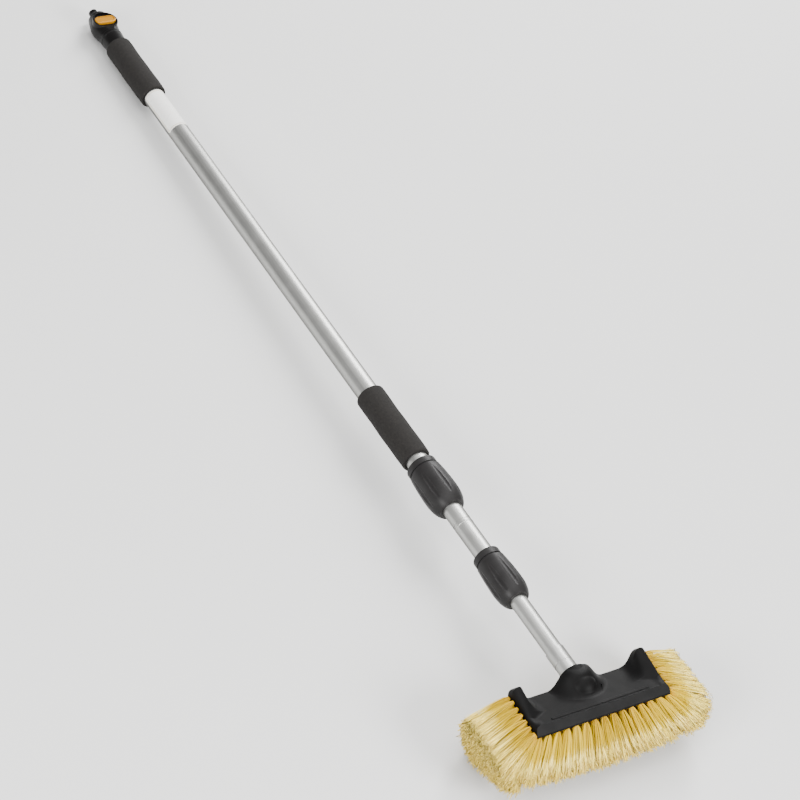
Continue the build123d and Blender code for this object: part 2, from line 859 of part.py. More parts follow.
def row(y, splay, tufts, turns=(-1, 0, 1)):
    """Strands of one row of tufts on the underside: each tuft fans out along the row."""
    planes = []
    pitch = 2 * (shell_end - end_margin) / (tufts - 1)
    for number in range(tufts):
        middle = -shell_end + end_margin + number * pitch
        for turn in turns:
            lean = radians(end_lean * middle / half_length + fan_angle * turn)
            way = head_way(sin(lean), sin(radians(splay)), -cos(radians(splay)) * cos(lean))
            planes.append(strand_plane(head_point(middle + fan_step * turn, y, 0), way))
    return planes


def edge_bristles(label, side):
    """The two rows along the front or the back of the block."""
    with BuildPart() as bristles:
        outer_planes = row(side * row_outer, side * outer_splay, front_tufts)
        inner_planes = row(side * row_inner, side * inner_splay, front_tufts)
        with BuildSketch(*outer_planes, *inner_planes):
            Rectangle(strand_width, strand_width)
        extrude(amount=strand_length)
        split(bisect_by=Plane.XY, keep=Keep.TOP)
        split(bisect_by=HEAD.offset(slice_height), keep=Keep.BOTTOM)
        with BuildSketch(HEAD):
            with Locations((0, side * (row_outer + row_inner) / 2)):
                Rectangle(2 * shell_end, row_pitch + 2 * edge_inset)
        extrude(amount=slice_height)
    finish(bristles, label)


edge_bristles("bristles_front", -1)
edge_bristles("bristles_back", 1)

bottom_width = 2 * (row_inner - edge_inset)
bottom_pitch = (bottom_width - 2 * edge_inset) / (bottom_rows - 1)
with BuildPart() as bristles_bottom:
    bottom_planes = []
    for number in range(bottom_rows):
        line = (number - (bottom_rows - 1) / 2) * bottom_pitch
        splay = bottom_splay * line / (bottom_width / 2)
        bottom_planes += row(line, splay, bottom_tufts, turns=(-0.6, 0.6))
    with BuildSketch(*bottom_planes):
        Rectangle(strand_width, strand_width)
    extrude(amount=strand_length)
    with BuildSketch(HEAD):
        Rectangle(2 * shell_end, bottom_width)
    extrude(amount=slice_height)
    with BuildSketch(HEAD):
        with GridLocations(jet_pitch, 0, jet_count, 1):
            Circle(jet_radius)
    extrude(amount=slice_height, mode=Mode.SUBTRACT)
finish(bristles_bottom, "bristles_bottom")


def end_bristles(label, side):
    """The tufts on one end of the block, in more rows where the ear makes it higher."""
    planes = []
    pitch = 2 * (half_width - end_margin) / (end_tufts - 1)
    for number in range(end_tufts):
        middle = -half_width + end_margin + number * pitch
        rows = max(int(end_height(middle) / end_row_pitch), 1)
        for row_number in range(rows):
            height = end_height(middle) * (row_number + 0.5) / rows
            share = height / end_top_height
            drop = radians(end_low_angle + (end_high_angle - end_low_angle) * share)
            for turn in (-1, 0, 1):
                heading = radians(end_turn * middle / half_width + end_fan_angle * turn)
                way = head_way(side * cos(drop) * cos(heading), sin(heading), -sin(drop))
                root = head_point(side * half_length, middle + fan_step * turn, height)
                planes.append(strand_plane(root, way))
    with BuildPart() as bristles:
        with BuildSketch(*planes):
            Rectangle(strand_width, strand_width)
        extrude(amount=end_strand_length)
        split(bisect_by=lengthwise(side * shell_end), keep=Keep.TOP if side > 0 else Keep.BOTTOM)
        with BuildSketch(lengthwise(side * shell_end)):
            with BuildLine():
                Polyline(
                    (-half_width, 0),
                    (-half_width, end_front_height),
                    (ear_top, end_top_height),
                    (half_width, end_back_height),
                    (half_width, 0),
                    close=True,
                )
            make_face()
        extrude(amount=side * end_slice)
    finish(bristles, label)


end_bristles("bristles_left", -1)
end_bristles("bristles_right", 1)
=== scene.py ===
# %% [markdown]
# # A telescopic wash brush, dressed for a studio picture
#
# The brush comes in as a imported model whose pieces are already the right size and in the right
# place. This notebook gives each piece the finish of the real one, and it makes the soft pieces
# again, because foam and bristles can't be shown by plain solids. Everything is in metres,
# unless a line says otherwise. The brush lies on the floor: the head is at one end of the Y axis
# and the water tap at the other.

# %% Load the model and keep its size
import json
from math import atan2, cos, degrees, pi, radians, sin, sqrt, tau

import bpy
from mathutils import Matrix, Vector


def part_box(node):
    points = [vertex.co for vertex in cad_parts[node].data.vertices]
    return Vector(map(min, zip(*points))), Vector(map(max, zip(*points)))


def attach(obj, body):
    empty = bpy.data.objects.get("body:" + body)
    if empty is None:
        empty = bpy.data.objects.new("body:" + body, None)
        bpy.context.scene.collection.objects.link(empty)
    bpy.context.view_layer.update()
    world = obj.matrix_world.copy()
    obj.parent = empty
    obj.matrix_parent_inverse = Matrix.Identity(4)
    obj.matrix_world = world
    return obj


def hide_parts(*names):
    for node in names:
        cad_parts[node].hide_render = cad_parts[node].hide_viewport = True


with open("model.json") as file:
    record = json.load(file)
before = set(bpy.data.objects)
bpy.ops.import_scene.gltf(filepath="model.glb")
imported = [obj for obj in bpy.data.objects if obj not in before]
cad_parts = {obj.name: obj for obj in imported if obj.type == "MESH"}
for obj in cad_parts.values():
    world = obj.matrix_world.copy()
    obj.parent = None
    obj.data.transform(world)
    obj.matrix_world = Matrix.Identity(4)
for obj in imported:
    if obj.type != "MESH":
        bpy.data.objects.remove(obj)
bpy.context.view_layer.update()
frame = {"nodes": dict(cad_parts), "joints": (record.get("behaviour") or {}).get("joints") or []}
MM = 0.001

# %% [markdown]
# ## A way to speak about places
#
# Every tube, ring and nut sits round one line, the middle of the pole, so it helps to measure
# heights along that line. The model knows where it is: a sliding joint runs along it and a
# twist lock turns about it. With that line as one axis, the length of the head as the second
# and their cross product as the third, a point of the pole has simple coordinates.

# %% The line of the pole
joints = {joint["name"]: joint for joint in frame["joints"]}
POLE = -Vector(joints["mid_slide"]["axis"]).normalized()
ALONG_HEAD = Vector((1, 0, 0))
ABOVE = ALONG_HEAD.cross(POLE)
LOCK = Vector(joints["lower_lock_turn"]["pos_m"])
LOCK_HEIGHT = 169 * MM    # of that joint, over the mouth of the head's socket
MOUTH = LOCK - POLE * LOCK_HEIGHT
POLE_TURN = atan2(POLE.z, POLE.y)


def on_pole(height, radius=0.0, angle=0.0):
    """A point at a height over the socket; angle 0 points along the head, 90 degrees up."""
    return MOUTH + POLE * height + (ALONG_HEAD * cos(angle) + ABOVE * sin(angle)) * radius


def extent(node):
    """Foot, top and largest radius of a piece, measured on its mesh."""
    heights, radii = [], []
    for vertex in frame["nodes"][node].data.vertices:
        away = vertex.co - MOUTH
        heights.append(away.dot(POLE))
        radii.append((away - POLE * heights[-1]).length)
    return min(heights), max(heights), max(radii)


print("the pole leans", round(degrees(POLE_TURN), 2), "degrees")

# %% [markdown]
# ## A way to speak about the head
#
# The block of the head leans from the pole by 22 degrees. Its underside is the plane that the
# bristles start from. The thin board that closes the block is a plain slab, so the middle of
# its box is the middle of the slab, and from there the block's own axes are easy to place.

# %% The axes of the block
BLOCK_LEAN = radians(22)
BOARD_MIDDLE = 2.75 * MM  # height of the board's middle over the underside
BACK = Matrix.Rotation(-BLOCK_LEAN, 3, ALONG_HEAD) @ POLE
UP = ALONG_HEAD.cross(BACK)
board_low, board_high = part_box("tuft_board")
BLOCK = (board_low + board_high) / 2 - UP * BOARD_MIDDLE


def block_way(x, y, z):
    return ALONG_HEAD * x + BACK * y + UP * z


def block_point(x, y, z):
    """A point from millimetres along, across and over the underside of the block."""
    return BLOCK + block_way(x, y, z) * MM


print("underside of the block at", [round(c, 4) for c in BLOCK])

# %% [markdown]
# ## The camera
#
# A picture shows an object from one place, so the camera comes before anything that is judged.
# A long lens stands well back and keeps the pole's sides nearly parallel. The camera's
# place and its directions are given on the pole's own axes, so they stay right wherever the
# brush lies.

# %% Place the camera
LENS, SENSOR = 108, 36    # millimetres
SIGHT = 20                # how far the camera sees
CAMERA_PLACE = (-1586.3, -1365.5, 2218.5)    # millimetres from the mouth of the socket
CAMERA_RIGHT = (0.8473, -0.4887, 0.2080)
CAMERA_UP = (0.2090, 0.6668, 0.7153)


def from_pole(x, y, z):
    return ALONG_HEAD * x + POLE * y + ABOVE * z


def into_scene(name, data):
    """A new object of the scene, made from a mesh, a lamp or a camera."""
    item = bpy.data.objects.new(name, data)
    bpy.context.scene.collection.objects.link(item)
    return item


camera = into_scene("camera", bpy.data.cameras.new("camera"))
right, up = from_pole(*CAMERA_RIGHT).normalized(), from_pole(*CAMERA_UP).normalized()
back = right.cross(up).normalized()
turn = Matrix((right, back.cross(right), back)).transposed()
camera.matrix_world = Matrix.Translation(MOUTH + from_pole(*CAMERA_PLACE) * MM) @ turn.to_4x4()
camera.data.lens = LENS
camera.data.sensor_width = SENSOR
camera.data.clip_end = SIGHT
bpy.context.scene.camera = camera
print("camera at", [round(c, 3) for c in camera.location])

# %% [markdown]
# ## Colours and nodes
#
# Colours are picked as hex values, which are what a screen shows. A renderer adds up light, so
# it needs them linear, and one function does that. Materials and the tree of the bristles are
# built from nodes. A node's inputs are filled in order or by name. Where the value is another
# node, the two are linked, and where it is plain, it is set. One function adds any node with its
# settings and fills it, which keeps each finish to a few lines.

# %% Colours
def linear(hex_value):
    """An sRGB hex value as a linear colour with alpha 1."""
    parts = [int(hex_value[i:i + 2], 16) / 255 for i in (1, 3, 5)]
    curve = [c / 12.92 if c <= 0.04045 else ((c + 0.055) / 1.055) ** 2.4 for c in parts]
    return (*curve, 1.0)


def set_stops(elements, stops):
    """Gives a colour ramp its pairs of position and hex colour."""
    while len(elements) < len(stops):
        elements.new(0.5)
    for element, (position, colour) in zip(elements, stops):
        element.position = position
        element.color = linear(colour)


# %% Nodes
MATHS, VECTORS = "ShaderNodeMath", "ShaderNodeVectorMath"
NOISE, CELLS, BUMP = "ShaderNodeTexNoise", "ShaderNodeTexVoronoi", "ShaderNodeBump"
RAMP, SPAN = "ShaderNodeValToRGB", "ShaderNodeMapRange"


def fill(tree, node, *values, **named):
    """Fills inputs in order or by name. A node stands for the first output that it uses."""
    pairs = list(zip(node.inputs, values))
    for name, value in named.items():
        spaced = name.replace("_", " ")
        pairs.append((next(s for s in node.inputs if s.name == spaced and s.enabled), value))
    for socket, value in pairs:
        if isinstance(value, bpy.types.Node):
            value = next(s for s in value.outputs if s.enabled)
        if isinstance(value, bpy.types.NodeSocket):
            tree.links.new(value, socket)
        else:
            socket.default_value = value


def add(tree, kind, settings=None, *values, **named):
    """Adds a node, gives it its settings and fills its inputs."""
    node = tree.nodes.new(kind)
    for name, value in (settings or {}).items():
        if name == "stops":
            set_stops(node.color_ramp.elements, value)
        else:
            setattr(node, name, value)
    fill(tree, node, *values, **named)
    return node


def new_finish(name):
    """A new material: its tree, its surface shader and its object coordinates."""
    made = bpy.data.materials.new(name)
    made.use_nodes = True
    tree = made.node_tree
    place = add(tree, "ShaderNodeTexCoord").outputs["Object"]
    return made, tree, tree.nodes["Principled BSDF"], place


# %% [markdown]
# ## Anodised aluminium
#
# The three tubes are drawn through a die and then anodised. Drawing leaves faint lines along
# the tube, and the clear oxide over them makes the metal satin, so it shows one broad soft
# band of light and not a sharp mirror image. A picture of brushed metal would repeat and show a
# seam, so the lines are a noise that is stretched along the pole. The real ones are a few
# hundredths of a millimetre apart, too fine to show, so they are drawn far coarser. A slower
# noise stands for handling and for the haze of the oxide. A grey tint of the mirror light keeps
# the edges of the tubes from turning white.

# %% Anodised aluminium
DRAWN_LINE, LINE_DEPTH = 0.9 * MM, 0.03 * MM
LINE_CHANGES = 2          # in a metre along the pole
HAZE_CLOUDS = 38.0        # in a metre, so each is some 26 millimetres wide
HAZE_SHARE = 0.45         # of the haze against the lines


def anodised_aluminium():
    made, tree, surface, place = new_finish("anodised_aluminium")
    straight = add(tree, "ShaderNodeMapping", Vector=place, Rotation=(-POLE_TURN, 0, 0))
    drawn = add(
        tree, "ShaderNodeMapping", Vector=straight,
        Scale=(1 / DRAWN_LINE, LINE_CHANGES, 1 / DRAWN_LINE),
    )
    lines = add(tree, NOISE, Vector=drawn, Scale=1.0, Detail=3.0)
    haze = add(tree, NOISE, Vector=place, Scale=HAZE_CLOUDS, Detail=4.0)
    both = add(tree, MATHS, {"operation": "MULTIPLY_ADD"}, haze, HAZE_SHARE, lines)
    stops = (0.4, "#A2A29F"), (0.75, "#AFAFAC"), (1.0, "#BABAB7")
    fill(
        tree, surface, Metallic=1.0, Specular_Tint=linear("#6C6C6A"),
        Base_Color=add(tree, RAMP, {"stops": stops}, Fac=both),
        Roughness=add(tree, SPAN, Value=both, To_Min=0.32, To_Max=0.46),
        Normal=add(tree, BUMP, Height=lines, Strength=0.12, Distance=LINE_DEPTH),
    )
    return made


aluminium = anodised_aluminium()
print("made", aluminium.name)

# %% [markdown]
# ## Moulded polypropylene
#
# The twist locks, the tap and the head are black polypropylene from a mould. The mould's
# surface is lightly eroded, so the plastic has a fine even grain, and its shine is soft. Black
# plastic is never pure black: a little grey is left in it, and where hands and hoses rub it the
# grain gets polished. Modelled pits would take millions of faces, so the grain is a bump of
# small cells. One recipe serves all three, with a shinier mix for the tap and a blacker and
# duller one for the head.

# %% Moulded polypropylene
GRAIN, HEAD_GRAIN = 0.7 * MM, 0.9 * MM   # of the eroded mould, drawn coarser than it is
GRAIN_DEPTH = 0.06 * MM
RUBBED_PATCHES = 45.0     # in a metre, so each is some 22 millimetres wide
PLASTIC_GLOSS, HEAD_GLOSS = 0.14, 0.08


def moulded_plastic(name, dark, light, dull, shiny, grain=GRAIN, gloss=PLASTIC_GLOSS):
    made, tree, surface, place = new_finish(name)
    cells = add(tree, CELLS, Vector=place, Scale=1 / grain)
    rubbed = add(tree, NOISE, Vector=place, Scale=RUBBED_PATCHES, Detail=5.0, Roughness=0.6)
    fill(
        tree, surface, IOR=1.49, Specular_IOR_Level=gloss,
        Base_Color=add(tree, RAMP, {"stops": ((0.3, dark), (0.75, light))}, Fac=rubbed),
        Roughness=add(tree, SPAN, Value=rubbed, To_Min=dull, To_Max=shiny),
        Normal=add(tree, BUMP, Height=cells, Strength=0.25, Distance=GRAIN_DEPTH),
    )
    return made


lock_plastic = moulded_plastic("satin_polypropylene", "#1B1A1A", "#232222", 0.5, 0.36)
tap_plastic = moulded_plastic("glossy_polypropylene", "#0B0A0A", "#100F0F", 0.42, 0.26)
head_plastic = moulded_plastic(
    "eroded_polypropylene", "#080808", "#0D0C0C", 0.6, 0.46, HEAD_GRAIN, HEAD_GLOSS
)
print("made", lock_plastic.name, tap_plastic.name, head_plastic.name)

# %% [markdown]
# ## ABS, rubber and acetal
#
# The lever of the tap is amber ABS, smooth from a polished mould, in a colour that stands out
# from the black. The seals are nitrile rubber: black, dull and a little dusty. The collets,
# guides and ball seats are natural acetal, a white plastic that is slippery and slightly waxy.
# Most of these hide inside the pole and the tap. None has a grain, so faint clouds are all that
# varies on them, and one function can make all three.

# %% ABS, rubber and acetal
ABS_CLOUD, RUBBER_CLOUD, ACETAL_CLOUD = 14 * MM, 5 * MM, 20 * MM
CLOUD_DEPTH = 0.03 * MM
ABS_GLOSS, PLAIN_GLOSS = 0.25, 0.5
SHINE_VARIES = 0.06       # to either side of the roughness


def plain_moulding(name, dark, light, roughness, ior, cloud, gloss=PLAIN_GLOSS):
    made, tree, surface, place = new_finish(name)
    clouds = add(tree, NOISE, Vector=place, Scale=1 / cloud, Detail=6.0, Roughness=0.65)
    low, high = roughness - SHINE_VARIES, roughness + SHINE_VARIES
    fill(
        tree, surface, IOR=ior, Specular_IOR_Level=gloss,
        Base_Color=add(tree, RAMP, {"stops": ((0.25, dark), (0.8, light))}, Fac=clouds),
        Roughness=add(tree, SPAN, Value=clouds, To_Min=low, To_Max=high),
        Normal=add(tree, BUMP, Height=clouds, Strength=0.2, Distance=CLOUD_DEPTH),
    )
    return made


amber_abs = plain_moulding("amber_abs", "#9C6800", "#A87200", 0.36, 1.53, ABS_CLOUD, ABS_GLOSS)
nitrile_rubber = plain_moulding(
    "nitrile_rubber", "#121212", "#1D1D1C", 0.72, 1.52, RUBBER_CLOUD
)
acetal = plain_moulding("natural_acetal", "#DEDCD4", "#EDECE6", 0.38, 1.48, ACETAL_CLOUD)
print("made", amber_abs.name, nitrile_rubber.name, acetal.name)

# %% [markdown]
# ## Dress the pieces that keep their own shape
#
# The rigid pieces are right as they are, so they only change their finish. A table from the
# finish to the names of the pieces says it all at a glance.

# %% Give the rigid pieces their finish
finishes = {
    aluminium: ["outer_tube", "mid_tube", "inner_tube", "end_sleeve"],
    lock_plastic: [
        "upper_lock_sleeve", "upper_lock_nut", "lower_lock_sleeve", "lower_lock_nut",
    ],
    tap_plastic: ["pole_adaptor", "union_ring", "tap_body", "hose_plug", "valve_stem"],
    head_plastic: ["head_shell", "tuft_board"],
    amber_abs: ["tap_lever"],
    nitrile_rubber: [
        "upper_lock_seal", "lower_lock_seal", "mid_guide_seal", "inner_guide_seal",
        "adaptor_seal", "stem_seal", "plug_seal", "socket_washer", "board_gasket",
    ],
    acetal: [
        "upper_lock_collet", "lower_lock_collet", "mid_guide", "inner_guide",
        "inlet_seat", "outlet_seat", "valve_ball",
    ],
}


def dress(piece, made):
    if piece.material_slots:
        for slot in piece.material_slots:
            slot.material = made
    else:
        piece.data.materials.append(made)


for made, names in finishes.items():
    for name in names:
        dress(frame["nodes"][name], made)
print("dressed", sum(len(names) for names in finishes.values()), "pieces")

# %% [markdown]
# ## Pieces of our own
#
# A new piece is a mesh from points and faces. It rides on the body that carries it, so that it
# moves when the pole is drawn out, and it may stand for a solid of the model, which is then
# hidden. One function does those steps for every piece below. Another turns an outline about
# the pole, for pieces that are round.

# %% Helpers for new pieces
def place_piece(piece, made, body, stands_for=()):
    dress(piece, made)
    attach(piece, body)
    if stands_for:
        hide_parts(*stands_for)


def new_piece(name, points, faces, made, body, stands_for=()):
    mesh = bpy.data.meshes.new(name)
    mesh.from_pydata([tuple(p) for p in points], [], faces)
    mesh.validate()
    mesh.shade_smooth()
    piece = into_scene(name, mesh)
    place_piece(piece, made, body, stands_for)
    return piece


def turned_about_pole(outline, sides, shift=None):
    """Points and faces of a closed outline of radius and height, turned about the pole."""
    points, faces = [], []
    rings = len(outline)
    for ring, (radius, height) in enumerate(outline):
        for side in range(sides):
            angle = side / sides * tau
            extra = shift(angle, height, ring) if shift else 0
            points.append(on_pole(height, radius + extra, angle))
    for ring in range(rings):
        following = (ring + 1) % rings
        for side in range(sides):
            beside = (side + 1) % sides
            faces.append((
                ring * sides + side, ring * sides + beside,
                following * sides + beside, following * sides + side,
            ))
    return points, faces


# %% [markdown]
# ## Foam grips
#
# Each grip is a sleeve of closed-cell rubber foam, pushed over the tube. It is cut from a long
# extrusion, so its ends are square with a soft edge, and it gives a little everywhere: the
# outside is never a perfect cylinder. A Displace modifier on a plain tube would move the bore
# too, so the sleeve is turned from an outline, with a slow swell of a few tenths of a
# millimetre that depends on the height and the angle. The cells are small pits, made by a bump
# of two sizes in the material, and the skin is dull and dark.

# %% Closed-cell foam
CELL, PIT_DEPTH = 0.8 * MM, 0.25 * MM
DUST_SPECKS = 300.0       # in a metre, so each is some 3 millimetres wide
DUST_SHARE = 1.4          # of the specks against the cells


def closed_cell_foam():
    made, tree, surface, place = new_finish("closed_cell_foam")
    cells = add(tree, CELLS, Vector=place, Scale=1 / CELL)
    dust = add(tree, NOISE, Vector=place, Scale=DUST_SPECKS, Detail=8.0, Roughness=0.7)
    pits = add(tree, MATHS, {"operation": "MULTIPLY_ADD"}, dust, DUST_SHARE, cells)
    stops = (0.35, "#131110"), (0.6, "#1B1917"), (0.8, "#282523")
    fill(
        tree, surface, Roughness=0.93, Specular_IOR_Level=0.3,
        Base_Color=add(tree, RAMP, {"stops": stops}, Fac=dust),
        Normal=add(tree, BUMP, Height=pits, Strength=0.7, Distance=PIT_DEPTH),
    )
    return made


foam = closed_cell_foam()
print("made", foam.name)

# %% The outline of a grip
SOFT_EDGE, BORE_EDGE = 2.8 * MM, 0.6 * MM
FOAM_BORE = 16.05 * MM
GRIP_RINGS, EDGE_STEPS = 64, 6


def soft_edge(radius, height, turn_from):
    """A quarter circle of the outline, from a turn of so many degrees on."""
    corner = []
    for step in range(EDGE_STEPS + 1):
        angle = radians(turn_from + step * 90 / EDGE_STEPS)
        corner.append((
            radius - SOFT_EDGE + SOFT_EDGE * cos(angle), height + SOFT_EDGE * sin(angle),
        ))
    return corner


def grip_outline(foot, top, radius):
    low, side = foot + SOFT_EDGE, top - foot - 2 * SOFT_EDGE
    return [
        (FOAM_BORE, foot + BORE_EDGE),
        *soft_edge(radius, low, -90),
        *((radius, low + side * ring / GRIP_RINGS) for ring in range(1, GRIP_RINGS)),
        *soft_edge(radius, top - SOFT_EDGE, 0),
        (FOAM_BORE, top - BORE_EDGE),
    ]


# %% Turn the two grips
GRIP_SIDES = 96
LONG_WAVE, SHORT_WAVE = 61, 137          # radians in a metre along the grip
SWELL_HEIGHT, SWELL_SUNK = 0.2 * MM, 0.12 * MM


def swell(angle, height):
    """How far the foam stands out here: slow waves, a third of a millimetre high."""
    slow = sin(height * LONG_WAVE + 1.3 * sin(angle)) + 0.7 * sin(height * SHORT_WAVE + 2 * angle)
    return SWELL_HEIGHT * slow - SWELL_SUNK


def foam_grip(name, node):
    outline = grip_outline(*extent(node))

    def soft(angle, height, ring):
        return 0 if ring in (0, len(outline) - 1) else swell(angle, height)

    points, faces = turned_about_pole(outline, GRIP_SIDES, soft)
    grip = new_piece(name, points, faces, foam, "handle", [node])
    return grip


for name, node in (("near_hand_foam", "upper_grip"), ("far_hand_foam", "lower_grip")):
    grip = foam_grip(name, node)
    print(name, "has", len(grip.data.polygons), "faces")

# %% [markdown]
# ## The rolled mark of the middle tube
#
# A fine ring is rolled into the middle tube, a thumb's width below the upper lock. It is a
# small bead, a quarter of a millimetre high, and it goes along when the tube is drawn out. A
# bump would be missing from the mesh, so the ring is real: a flat curve with both ends sunk in
# the tube, turned like the grips.

# %% Rolled ring
MARK_BELOW_LOCK, MARK_HALF_WIDTH = 33 * MM, 1.3 * MM
MARK_HEIGHT, MARK_SUNK = 0.25 * MM, 0.3 * MM
MARK_STEPS, MARK_SIDES = 3, 96


def rolled_ring(name, node, height, body):
    tube_radius = extent(node)[2]
    outline = [(tube_radius - MARK_SUNK, height - MARK_HALF_WIDTH)]
    for step in range(1 - MARK_STEPS, MARK_STEPS):
        along = step / MARK_STEPS
        outline.append((
            tube_radius + MARK_HEIGHT * (1 - along ** 2), height + MARK_HALF_WIDTH * along,
        ))
    outline.append((tube_radius - MARK_SUNK, height + MARK_HALF_WIDTH))
    points, faces = turned_about_pole(outline, MARK_SIDES)
    return new_piece(name, points, faces, aluminium, body)


lock_mouth = extent("upper_lock_nut")[0]
mark = rolled_ring("rolled_ring", "mid_tube", lock_mouth - MARK_BELOW_LOCK, "mid_stage")
print("the rolled ring has", len(mark.data.polygons), "faces")

# %% [markdown]
# ## The label
#
# A polyester film is wrapped half round the tube, below the upper grip. It is white and a
# little glossy, with a border of two fine lines. The lines could come from a picture, but a
# rule stays sharp from near by. The film is a curved sheet with its own UV map in millimetres,
# and the distance to its nearest edge decides the colour.

# %% Polyester film
LINE_FROM, LINE_TO = 1.6, 2.5            # of the cream line, in millimetres from the edge
HAIRLINE_FROM, HAIRLINE_TO = 3.1, 3.5
FILM_RIPPLES = 120.0      # in a metre, so each is some 8 millimetres wide
RIPPLE_DEPTH = 0.05 * MM


def polyester_film(width, length):
    made, tree, surface, place = new_finish("polyester_film")
    uv = add(tree, "ShaderNodeUVMap", {"uv_map": "film_mm"})
    parts = add(tree, "ShaderNodeSeparateXYZ", Vector=uv).outputs
    nearest = []
    for value, size in ((parts["X"], width), (parts["Y"], length)):
        far = add(tree, MATHS, {"operation": "SUBTRACT"}, size, value)
        nearest.append(add(tree, MATHS, {"operation": "MINIMUM"}, value, far))
    edge = add(tree, MATHS, {"operation": "MINIMUM"}, *nearest)
    colour = linear("#E9E8E4")
    for low, high, line in (
        (LINE_FROM, LINE_TO, "#D9C9A0"), (HAIRLINE_FROM, HAIRLINE_TO, "#8F8C88"),
    ):
        middle, half = (low + high) / 2, (high - low) / 2
        inside = add(tree, MATHS, {"operation": "COMPARE"}, edge, middle, half)
        colour = add(
            tree, "ShaderNodeMix", {"data_type": "RGBA"}, Factor=inside, A=colour, B=linear(line)
        )
    ripple = add(tree, NOISE, Vector=place, Scale=FILM_RIPPLES, Detail=3.0)
    fill(
        tree, surface, Base_Color=colour, IOR=1.6,
        Roughness=add(tree, SPAN, Value=ripple, To_Min=0.22, To_Max=0.36),
        Normal=add(tree, BUMP, Height=ripple, Strength=0.15, Distance=RIPPLE_DEPTH),
    )
    return made


# %% The rows of the film
FILM_ROWS = 12
FILM_CORNER = 4 * MM
CORNER_ROWS = (0.08, 0.3, 0.6, 1.0)      # shares of the rounded corner


def film_rows(foot, top):
    """Heights of the rows of points, closer together in the rounded corners."""
    rows = [foot + (top - foot) * row / FILM_ROWS for row in range(FILM_ROWS + 1)]
    ends = [FILM_CORNER * share for share in CORNER_ROWS]
    return sorted(set(rows) | {foot + end for end in ends} | {top - end for end in ends})


def drawn_in(from_end):
    """How far the side of the film is drawn in, at a distance from its end."""
    if from_end >= FILM_CORNER:
        return 0.0
    return FILM_CORNER - sqrt(FILM_CORNER ** 2 - (FILM_CORNER - from_end) ** 2)


# %% Wrap the film round the tube
FILM_STEPS = 48
FILM_RADIUS = 16.08 * MM  # of its inner side, just clear of the tube
FILM_THICKNESS = 0.12 * MM


def film_on_tube(node):
    foot, top, _ = extent(node)
    length, width = top - foot, FILM_RADIUS * pi
    rows = film_rows(foot, top)
    points, uvs, faces = [], [], []
    for height in rows:
        inset = drawn_in(min(height - foot, top - height))
        for step in range(FILM_STEPS + 1):
            across = inset + (width - 2 * inset) * step / FILM_STEPS
            points.append(on_pole(height, FILM_RADIUS, across / FILM_RADIUS))
            uvs.append((across / MM, (height - foot) / MM))
    line = FILM_STEPS + 1
    for row in range(len(rows) - 1):
        for step in range(FILM_STEPS):
            start = row * line + step
            faces.append((start, start + line, start + line + 1, start + 1))
    made = polyester_film(width / MM, length / MM)
    film = new_piece("bare_film", points, faces, made, "handle", [node])
    layer = film.data.uv_layers.new(name="film_mm")
    for loop in film.data.loops:
        layer.data[loop.index].uv = uvs[loop.vertex_index]
    wall = film.modifiers.new("wall", "SOLIDIFY")
    wall.thickness = FILM_THICKNESS
    wall.offset = 1
    return film


film = film_on_tube("label_film")
print("film of", len(film.data.polygons), "faces")

# %% [markdown]
# ## Bristle fibre
#
# The fibres are soft polyester, dyed yellow. Their ends are flagged: a machine splits each
# one into hairs and heats them until they curl, which makes the brush soft and hold water.
# The split ends scatter the light, so they look cream and woolly, while the whole fibre below
# keeps its deep yellow. A pattern in space can't tell the tip of one fibre from the root of the
# next, so each point carries two numbers: how far along its fibre it is, and the fibre's own
# random tone. A ramp over the first gives the colour, and the second shifts it. The ramp is
# darker at the root, as painted shade under the block, and at the very tip, as painted shade
# among the tips. The long fibres of the ends turn cream at a smaller share of their length.

# %% Flagged polyester fibre
SHORT_YELLOW, LONG_YELLOW = 0.62, 0.46   # share of the length up to which a fibre is yellow
CREAM_EDGE = 0.14         # share over which the yellow turns cream
TONE_SHIFT = 0.14         # how far the random tone moves all that


def flagged_polyester(name, yellow_to):
    """The fibre's finish; its yellow ends at that share of the length, and cream follows."""
    made, tree, surface, _ = new_finish(name)
    along, tone = [
        add(
            tree, "ShaderNodeAttribute", {"attribute_name": word, "attribute_type": "GEOMETRY"}
        ).outputs["Fac"]
        for word in ("along", "tone")
    ]
    moved = add(tree, MATHS, {"operation": "MULTIPLY_ADD"}, tone, TONE_SHIFT, along)
    # The darker first stops are painted shade at the roots, under the block, and the darker last
    # stop is painted shade among the tips.
    stops = (
        (0.0, "#BC8800"), (0.2, "#D4B000"), (yellow_to, "#E0C000"),
        (yellow_to + CREAM_EDGE, "#FFE978"), (0.9, "#FFE97C"), (1.0, "#E4C962"),
    )
    shifted = add(
        tree, "ShaderNodeHueSaturation", Color=add(tree, RAMP, {"stops": stops}, Fac=moved),
        Value=add(tree, SPAN, Value=tone, To_Min=0.86, To_Max=1.08),
        Saturation=add(tree, SPAN, Value=tone, To_Min=1.06, To_Max=0.94),
    )
    fill(
        tree, surface, Base_Color=shifted, IOR=1.57, Specular_IOR_Level=0.15,
        Roughness=add(tree, SPAN, Value=along, To_Min=0.42, To_Max=0.75),
    )
    return made


fibre_finish = flagged_polyester("flagged_polyester", SHORT_YELLOW)
long_fibre_finish = flagged_polyester("long_flagged_polyester", LONG_YELLOW)
print("made", fibre_finish.name, long_fibre_finish.name)

# %% [markdown]
# ## One tree that grows every tuft
#
# Thousands of fibres follow one rule, so Geometry Nodes grow them. Hair particles would be
# another way, but as a mesh they are bare edges without faces. The tree takes one point for
# each tuft, with the direction that the tuft leaves the block in. It copies the point once for
# each fibre, spreads the copies over a small disc, and lets the outer ones lean outwards.
# On each copy stands a three-sided fibre of length 1, stretched to its own length. A second copy
# step adds the split hairs, which start part of the way up.
#
# At the end, all fibres are bent: the bend grows with the square of the distance from the root,
# the hairs also curl and crimp, and the whole tuft swells above its hole. Hairs that would pass
# the width of the brush or the floor are cut there, a little unevenly.

